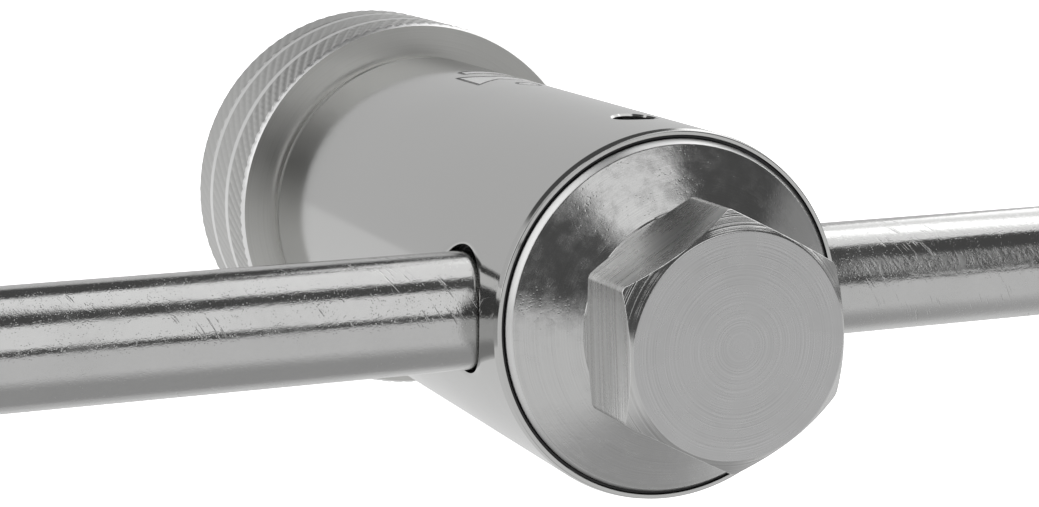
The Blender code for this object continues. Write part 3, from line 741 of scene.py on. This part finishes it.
plugShape = {
    "acrossFlats": 30.0, "cornerRadius": 17.15, "hexTurn": 2.03,
    "face": lowOf("end_plug", "y"), "faceRadius": 14.7,
    "chamfer": 2.3, "back": -21.1, "backSlope": 0.4, "neck": 15.3, "neckLength": 0.7, "flatsEnd": -20.75,
    "flange": 23.75, "flangeBevel": (0.6, 1.0), "flangeLength": 1.5, "spigot": (18.9, -9.7),
    "hollow": (15.4, -14.1), "columns": 720, "edge": 0.12, "cornerEdge": 0.03,
}


# Distance to a flat at an angle is half the width over the cosine of the angle from the flat's
# middle; a soft minimum with the round bar's radius leaves the narrow rounded corners.
def hexRadius(turn, acrossFlats, cornerRadius, hexTurn, edge):
    fromMiddle = (turn - math.radians(hexTurn) + np.pi / 6) % (np.pi / 3) - np.pi / 6
    flat = acrossFlats / 2 / np.cos(fromMiddle)
    return (flat + cornerRadius - np.sqrt((flat - cornerRadius) ** 2 + edge ** 2)) / 2


def endPlug():
    shape = plugShape
    turn = circleOf(shape["columns"])
    hexSize = hexRadius(
        turn, shape["acrossFlats"], shape["cornerRadius"], shape["hexTurn"], shape["cornerEdge"])
    neck, flatsEnd, face = shape["neck"], shape["flatsEnd"], shape["face"]
    slope = shape["chamfer"] / (shape["cornerRadius"] - shape["faceRadius"])
    chamferEnd = face + slope * (hexSize - shape["faceRadius"])
    overNeck = hexSize > neck + 0.02
    backStart = np.where(overNeck, shape["back"] - shape["backSlope"] * (hexSize - neck), flatsEnd)
    backEnd = np.where(overNeck, shape["back"], flatsEnd)
    neckEnd = shape["back"] + shape["neckLength"]
    flange, front = shape["flange"], bodyShape["front"]
    flangeEnd = front + shape["flangeLength"]
    bevelIn, bevelAlong = shape["flangeBevel"]
    outline = [
        (0.0, face), (shape["faceRadius"], face), (hexSize, chamferEnd), (hexSize, backStart),
        (neck, backEnd), (neck, neckEnd),
        (flange - bevelIn, front - bevelAlong), (flange, front), (flange, flangeEnd),
    ]
    edge = shape["edge"]
    softness = [0, edge, edge, 0.06, 0.04, 0.3, edge, edge, 0]
    # Zone 4, the flange's bevel, takes the rim finish, whose paler colour is a painted highlight.
    zones = [2, 3, 1, 1, 0, 0, 4, 0]
    finishes = [turnedFinish("cone"), flatFinish()]
    finishes += [turnedFinish(kind) for kind in ("end", "chamfer", "rim")]
    outside = turnedSheet(outline, turn, softness, zones)
    spigot, hollow = shape["spigot"], shape["hollow"]
    behind = [
        (flange, flangeEnd), (spigot[0], flangeEnd), spigot, (hollow[0], spigot[1]),
        hollow, (0.0, hollow[1]),
    ]
    makePiece(
        "hexagon_closure", [outside, turnedSheet(behind, turn)], finishes,
        "body", ["end_plug"], 30)


endPlug()


tubeShape = {
    "radius": highOf("outlet_tube", "z"), "bore": 6.5, "inner": lowOf("outlet_tube", "x"),
    "outer": highOf("outlet_tube", "x"), "soft": 0.35, "columns": 160,
}


def tubePieces():
    shape = tubeShape
    turn = circleOf(shape["columns"])
    plate = tubeFinish()
    middle = (shape["bore"] + shape["radius"]) / 2
    for side, name in ((-1, "inlet"), (1, "outlet")):
        ends = sorted((side * shape["inner"], side * shape["outer"]))
        outline = [
            (middle, ends[0]), (shape["radius"], ends[0]), (shape["radius"], ends[1]),
            (shape["bore"], ends[1]), (shape["bore"], ends[0]), (middle, ends[0]),
        ]
        sheet = turnedSheet(outline, turn, shape["soft"], 0, "x")
        makePiece(name + "_pipe", [sheet], [plate], "body", [name + "_tube"])


# The seal's section is an L: a flat ring under the flange and a thin lip that shows round it.
sealShape = {
    "inside": 19.3, "middle": 21.0, "lip": (23.8, highOf("end_seal", "z")), "flat": -13.1,
    "floor": highOf("end_seal", "y"), "top": lowOf("end_seal", "y"), "soft": 0.08, "columns": 240,
}


def ringSeal():
    shape = sealShape
    inside, middle, (lipIn, lipOut) = shape["inside"], shape["middle"], shape["lip"]
    floor, flat, top = shape["floor"], shape["flat"], shape["top"]
    outline = [
        (middle, flat), (lipIn, flat), (lipIn, top), (lipOut, top), (lipOut, floor),
        (inside, floor), (inside, flat), (middle, flat),
    ]
    sheet = turnedSheet(outline, circleOf(shape["columns"]), shape["soft"])
    makePiece("closure_seal", [sheet], [plain["moulded rubber"]], "body", ["end_seal"])


socketDetail = {"draft": 0.96, "rimWide": 0.12, "rimDeep": 0.15, "tip": 0.2, "cornerEdge": 0.02}


# A screw's outline with its socket: the wall follows a hexagon, and the thread is a helix whose
# radius falls and rises once for each pitch of place less the share of a turn.
def screwSheet(head, socket, shank, turn, axis, centre, thread=None):
    detail = socketDetail
    wall = hexRadius(turn, socket["across"], socket["across"], 0.0, detail["cornerEdge"])
    top, floor = head[-1][1], head[-1][1] - socket["depth"]
    outline = [
        (0.0, floor - socket["across"] * detail["tip"]), (wall * detail["draft"], floor),
        (wall, top - detail["rimDeep"]), (wall + detail["rimWide"], top), *reversed(head),
    ]
    sheets = [turnedSheet(outline, turn, 0.0, 0, axis, centre)]
    start = head[0]
    if thread:
        places = np.linspace(start[1], thread["end"], thread["rows"])[:, None]
        wave = np.abs(((places / thread["pitch"] - turn / (2 * np.pi)) % 1) - 0.5) * 2
        fade = np.clip(np.minimum(start[1] - places, places - thread["end"]) / thread["pitch"], 0, 1)
        radius = start[0] - thread["depth"] * wave * fade
        sheets.append(sheetOf(roundAxis(radius, places, turn, axis, centre)))
    sheets.append(turnedSheet(shank, turn, 0.0, 0, axis, centre))
    return sheets


keyScrewShape = {
    "head": [(2.85, 22.4), (2.45, 22.8)], "socket": {"across": 3.0, "depth": 2.6}, "columns": 72,
    "shank": [(2.85, 17.4), (1.9, 17.4), (1.9, 15.8), (1.6, 15.5), (0.0, 15.5)],
    "thread": {"pitch": 0.8, "depth": 0.35, "end": 17.4, "rows": 60},
}


def topScrew():
    shape = keyScrewShape
    centre = (*bodyShape["screwAt"], 0)
    sheets = screwSheet(
        shape["head"], shape["socket"], shape["shank"], circleOf(shape["columns"]), "z", centre,
        shape["thread"])
    makePiece(
        "key_screw", sheets, [plain["blacked screw"]], "body", ["sleeve_locating_screw"])


tubePieces()
ringSeal()
topScrew()


knobShape = {
    "radius": 30.55, "front": lowOf("knurled_knob", "y"), "face": 82.0,
    "back": highOf("knurled_knob", "y"), "bevel": 1.1, "hub": 24.9,
    "recess": 24.0, "web": 98.0, "webCorner": 1.5, "square": 4.4, "teeth": 96, "samples": 8,
    "knurlLength": 3.6, "knurlDepth": 0.28, "crest": 0.45, "crossing": 0.55,
    "bandShares": (1.0, 0.5, 0.35), "lines": (91.3, 100.4),
    "lineWidth": 1.1, "lineDepth": 0.14, "bevelSlope": 0.5, "slotRadii": (17.7, 22.3), "slotFloor": 85.2,
    "slotAngles": (83.4, 186.6), "slotStep": 0.01, "edgeRow": 0.2, "leastRow": 0.04,
    "lineRows": (-0.97, -0.6, 0, 0.6, 0.97), "faceRow": 0.4,
}


# Two families of grooves cross at equal and opposite slants. How deep a point lies is the deeper
# of its two grooves, each of which falls evenly from its edge to its middle.
def knurlDrop(turn, places, shape):
    around = turn * shape["teeth"] / (2 * np.pi)
    along = (places - shape["face"]) / shape["knurlLength"]
    drops = []
    for slant, share in ((1, 1.0), (-1, shape["crossing"])):
        phase = around + slant * along
        fromGroove = np.abs(phase - np.round(phase))
        drops.append(share * np.clip(1 - fromGroove / shape["crest"], 0, 1))
    band = np.searchsorted(shape["lines"], places)
    return shape["knurlDepth"] * np.array(shape["bandShares"])[band] * np.maximum(*drops)


def gripRadius(turn, places, shape):
    radius = shape["radius"] - knurlDrop(turn, places, shape)
    for line in shape["lines"]:
        reach = np.clip(1 - (np.abs(places - line) / shape["lineWidth"]) ** 4, 0, 1)
        smooth = shape["radius"] - shape["lineDepth"]
        radius = np.where(reach > 0, radius + (smooth - radius) * np.minimum(2 * reach, 1), radius)
    low, slope = shape["radius"] - shape["bevel"] * shape["bevelSlope"], shape["bevelSlope"]
    radius = np.minimum(radius, low + np.maximum(places - shape["face"], 0) * slope)
    return np.minimum(radius, low + np.maximum(shape["back"] - places, 0) * slope)


def gripSheet(shape, turn):
    step = shape["knurlLength"] / shape["samples"]
    places = np.arange(shape["face"], shape["back"], step)
    extra = [shape["back"], shape["face"] + shape["edgeRow"], shape["back"] - shape["edgeRow"]]
    for line in shape["lines"]:
        extra += [line + share * shape["lineWidth"] for share in shape["lineRows"]]
    places = np.union1d(np.round(places, 4), np.round(extra, 4))
    places = places[np.append(True, np.diff(places) > shape["leastRow"])][:, None]
    radius = gripRadius(turn, places, shape)
    middleTurn = (turn[1:] + turn[:-1]) / 2
    middle = gripRadius(middleTurn, (places[1:] + places[:-1]) / 2, shape)
    straight = (radius[:-1, :-1] + radius[1:, 1:]) / 2
    crossed = (radius[:-1, 1:] + radius[1:, :-1]) / 2
    flip = np.abs(crossed - middle) < np.abs(straight - middle)
    return sheetOf(roundAxis(radius, places, turn), 1, None, flip)


def hubFront(shape, turn):
    square = shape["square"] / np.maximum(np.abs(np.cos(turn)), np.abs(np.sin(turn)))
    inner, outer, step = *shape["slotRadii"], shape["slotStep"]
    degrees = np.degrees(turn) % 360
    inSlot = (degrees > shape["slotAngles"][0]) & (degrees < shape["slotAngles"][1])
    deep = np.where(inSlot, shape["slotFloor"], shape["front"])
    bevelStart = shape["radius"] - shape["bevel"] * shape["bevelSlope"]
    return [
        (square, shape["front"]), (inner, shape["front"]), (inner + step, deep),
        (outer - step, deep), (outer, shape["front"]), (shape["hub"], shape["front"]),
        (shape["hub"], shape["face"]), (bevelStart - shape["faceRow"], shape["face"]),
        (bevelStart, shape["face"]),
    ], square


def knob():
    shape = knobShape
    turn = circleOf(shape["teeth"] * shape["samples"])
    front, square = hubFront(shape, turn)
    back, bevel, recess, web = shape["back"], shape["bevel"], shape["recess"], shape["web"]
    rear = [
        (shape["radius"] - bevel * shape["bevelSlope"], back), (recess + bevel, back),
        (recess, back - bevel), (recess, web), (recess - shape["webCorner"], web), (square, web),
        (square, shape["front"]),
    ]
    sheets = [
        turnedSheet(front, turn), gripSheet(shape, turn),
        turnedSheet(rear, turn, [0, 0.12, 0.12, 0.8, 0, 0, 0]),
    ]
    makePiece(
        "hand_knob", sheets, [turnedFinish("knob"), knurlFinish()],
        "rotor", ["knurled_knob"], 25)


discShape = {
    "bore": 2.8, "middle": 5.0, "radius": highOf("knob_washer", "z"), "soft": 0.2, "columns": 120,
    "ends": (lowOf("knob_washer", "y"), highOf("knob_washer", "y")),
}
capScrewShape = {
    "radius": 4.25, "ridge": 0.07, "ridges": 24, "ends": (99.9, 104.3), "top": (3.8, 104.9),
    "socket": {"across": 4.0, "depth": 2.8}, "shank": 2.45, "tip": lowOf("knob_screw", "y"),
    "columns": 192,
}


def knobFixing():
    shape = discShape
    bore, middle, radius, (start, end) = shape["bore"], shape["middle"], shape["radius"], shape["ends"]
    washer = [
        (middle, start), (radius, start), (radius, end), (bore, end), (bore, start), (middle, start)]
    sheet = turnedSheet(washer, circleOf(shape["columns"]), shape["soft"])
    makePiece("knob_disc", [sheet], [plain["machined steel"]], "rotor", ["knob_washer"])
    shape = capScrewShape
    turn = circleOf(shape["columns"])
    ridged = shape["radius"] - shape["ridge"] * np.abs(np.sin(turn * shape["ridges"]))
    start, end = shape["ends"]
    head = [(ridged, start), (ridged, end), shape["top"]]
    shank = [
        (ridged, start), (shape["shank"], start), (shape["shank"], shape["tip"]), (0.0, shape["tip"])]
    sheets = screwSheet(head, shape["socket"], shank, turn, "y", (0, 0, 0))
    makePiece("knob_cap_screw", sheets, [plain["blacked screw"]], "rotor", ["knob_screw"])


knob()
knobFixing()


# Pieces that keep their solid only get a finish.
slotFinish = {
    "black_rubber": "moulded rubber", "white_ptfe": "pressed plastic", "bronze": "bearing bronze",
    "spring_steel": "blued spring", "machined_steel": "machined steel", "dark_screw": "blacked screw",
}


def dressNodes():
    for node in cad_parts.values():
        slot = node.material_slots[0].material.name
        if slot in slotFinish:
            node.material_slots[0].material = plain[slotFinish[slot]]


dressNodes()


studio = {
    "cameraPlace": (-0.14232, -0.30557, 0.06920), "lens": 86.69, "sensor": 36.0,
    "forward": (0.37640, 0.90791, -0.18448), "right": (0.92366, -0.38321, -0.00139),
    "floorReach": 4.0, "floorColour": (0.92, 0.92, 0.92), "floorGlow": 1.0, "backdropGlow": 1.0,
    "tableEdge": (0.0, -0.06), "tableFade": (-0.93, -0.68), "tableGlow": (0.42, 0.75),
    "wallStart": (0.1, 0.5), "wallTop": (0.57, 0.47), "wallGlow": 0.62,
    "besideStart": (0.86, 0.97), "besideGlow": 0.34, "elsewhere": 0.09,
    "floorGap": 0.2 * mm, "domeReach": 3.92, "domeSteps": (48, 24),
}
# Each soft light: bearing from the front towards +X, height angle, width and height in degrees,
# and how bright it looks, all at the same far distance.
softLights = {
    "front": {"bearing": 8.0, "rise": 30.0, "wide": 39.0, "tall": 43.0, "bright": 0.9},
    "top": {"bearing": 109.0, "rise": 66.0, "wide": 38.0, "tall": 38.0, "bright": 1.0},
    "side": {"bearing": 124.0, "rise": 34.0, "wide": 40.0, "tall": 46.0, "bright": 1.05},
    "left": {"bearing": -95.0, "rise": 38.0, "wide": 40.0, "tall": 74.0, "bright": 1.1},
}
lightDistance = 3.0


def makeCamera():
    right, forward = np.array(studio["right"]), np.array(studio["forward"])
    up = np.cross(right, forward)
    lens = bpy.data.cameras.new("viewer")
    lens.lens, lens.sensor_width, lens.sensor_fit = studio["lens"], studio["sensor"], "HORIZONTAL"
    lens.clip_start, lens.clip_end = 0.01, 50
    camera = bpy.data.objects.new("viewer", lens)
    axes = np.eye(4)
    axes[:3, 0], axes[:3, 1], axes[:3, 2], axes[:3, 3] = right, up, -forward, studio["cameraPlace"]
    camera.matrix_world = Matrix(axes.tolist())
    bpy.context.scene.collection.objects.link(camera)
    bpy.context.scene.camera = camera


def makeLight(name, bearing, rise, wide, tall, bright):
    bearing, rise = math.radians(bearing), math.radians(rise)
    towards = np.array([
        math.sin(bearing) * math.cos(rise), -math.cos(bearing) * math.cos(rise), math.sin(rise)])
    lamp = bpy.data.lights.new(name, "AREA")
    lamp.shape = "RECTANGLE"
    lamp.size = 2 * lightDistance * math.tan(math.radians(wide / 2))
    lamp.size_y = 2 * lightDistance * math.tan(math.radians(tall / 2))
    lamp.energy = bright * math.pi * lamp.size * lamp.size_y
    across = np.cross([0, 0, 1], towards)
    across /= np.linalg.norm(across)
    axes = np.eye(4)
    axes[:3, 0], axes[:3, 1], axes[:3, 2] = across, np.cross(towards, across), towards
    axes[:3, 3] = lightDistance * towards
    light = bpy.data.objects.new(name, lamp)
    light.matrix_world = Matrix(axes.tolist())
    light.visible_camera = False
    bpy.context.scene.collection.objects.link(light)


# The surroundings that metal mirrors: a pale table that is darker straight below, a grey wall
# behind up to a height, a dim patch on the right, and little light elsewhere.
def makeWorld():
    world = bpy.data.worlds.new("studio")
    world.use_nodes = True
    bpy.context.scene.world = world
    shade = Shade(world.node_tree)
    direction = shade.node("ShaderNodeTexCoord").of("Generated")
    parts = shade.node("ShaderNodeSeparateXYZ", None, {"Vector": direction})
    right, ahead, up = parts.of("X"), parts.of("Y"), parts.of("Z")
    below = shade.span(up, *studio["tableEdge"])
    below = below * shade.span(up, *studio["tableFade"], *studio["tableGlow"])
    wall = shade.span(ahead, *studio["wallStart"]) * shade.span(up, *studio["wallTop"])
    wall = wall * studio["wallGlow"]
    beside = shade.span(right, *studio["besideStart"]) * studio["besideGlow"]
    glow = shade.maths("MAXIMUM", below, wall)
    for other in (beside, studio["elsewhere"]):
        glow = shade.maths("MAXIMUM", glow, other)
    background = world.node_tree.nodes["Background"]
    shade.feed(background.inputs["Color"], glow)


def stagePlain(name, mesh, colour, glow):
    material = bpy.data.materials.new(name)
    material.use_nodes = True
    shader = material.node_tree.nodes["Principled BSDF"]
    shader.inputs["Base Color"].default_value = (*colour, 1.0)
    shader.inputs["Roughness"].default_value = 0.9
    shader.inputs["Emission Color"].default_value = (1.0, 1.0, 1.0, 1.0)
    shader.inputs["Emission Strength"].default_value = glow
    mesh.materials.append(material)
    item = bpy.data.objects.new(name, mesh)
    item.visible_glossy = False
    bpy.context.scene.collection.objects.link(item)
    return item


def makeRoom():
    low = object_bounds()[0][2] - studio["floorGap"]
    reach = studio["floorReach"]
    floor = bpy.data.meshes.new("floor")
    corners = [(-reach, -reach, low), (reach, -reach, low), (reach, reach, low), (-reach, reach, low)]
    floor.from_pydata(corners, [], [(0, 1, 2, 3)])
    stagePlain("floor", floor, studio["floorColour"], studio["floorGlow"])
    shape = bmesh.new()
    around, upward = studio["domeSteps"]
    bmesh.ops.create_uvsphere(
        shape, u_segments=around, v_segments=upward, radius=studio["domeReach"])
    bmesh.ops.reverse_faces(shape, faces=shape.faces)
    dome = bpy.data.meshes.new("backdrop")
    shape.to_mesh(dome)
    shape.free()
    backdrop = stagePlain("backdrop", dome, (0.0, 0.0, 0.0), studio["backdropGlow"])
    backdrop.visible_diffuse = False
    backdrop.visible_shadow = False


makeCamera()
for name, values in softLights.items():
    makeLight(name, **values)
makeWorld()
makeRoom()
bpy.context.scene.view_settings.view_transform = "Standard"
print("studio ready")
